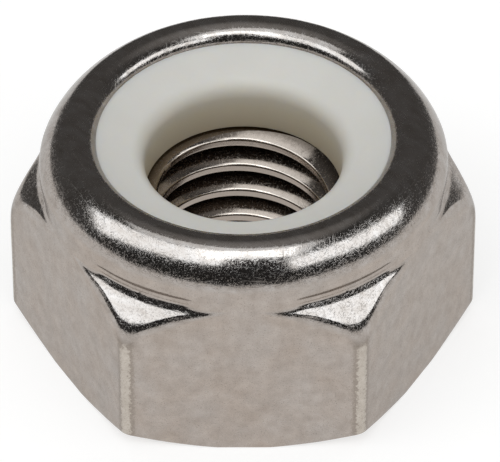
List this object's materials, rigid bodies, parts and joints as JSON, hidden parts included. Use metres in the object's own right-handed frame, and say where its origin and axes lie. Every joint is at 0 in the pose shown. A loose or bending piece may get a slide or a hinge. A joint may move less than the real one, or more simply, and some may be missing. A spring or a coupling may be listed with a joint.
{
  "type": "lock nut",
  "caption": "Stainless steel hexagonal lock nut with a rolled collar that traps a white nylon ring, so that the nut holds its place on a bolt.",
  "frame": {"origin": "the thread axis at the bearing face", "axes": "+Z along the thread axis from the bearing face to the collar, a flat of the hexagon faces -Y, and two corners lie on the X axis"},
  "size_m": [0.011, 0.0096, 0.0057],
  "materials": {
    "steel": "satin flats and a polished crown, bare stainless steel",
    "nylon": "natural white nylon, satin"
  },
  "bodies": {
    "root": {"nut_body": "steel", "nylon_insert": "nylon"}
  },
  "joints": []
}
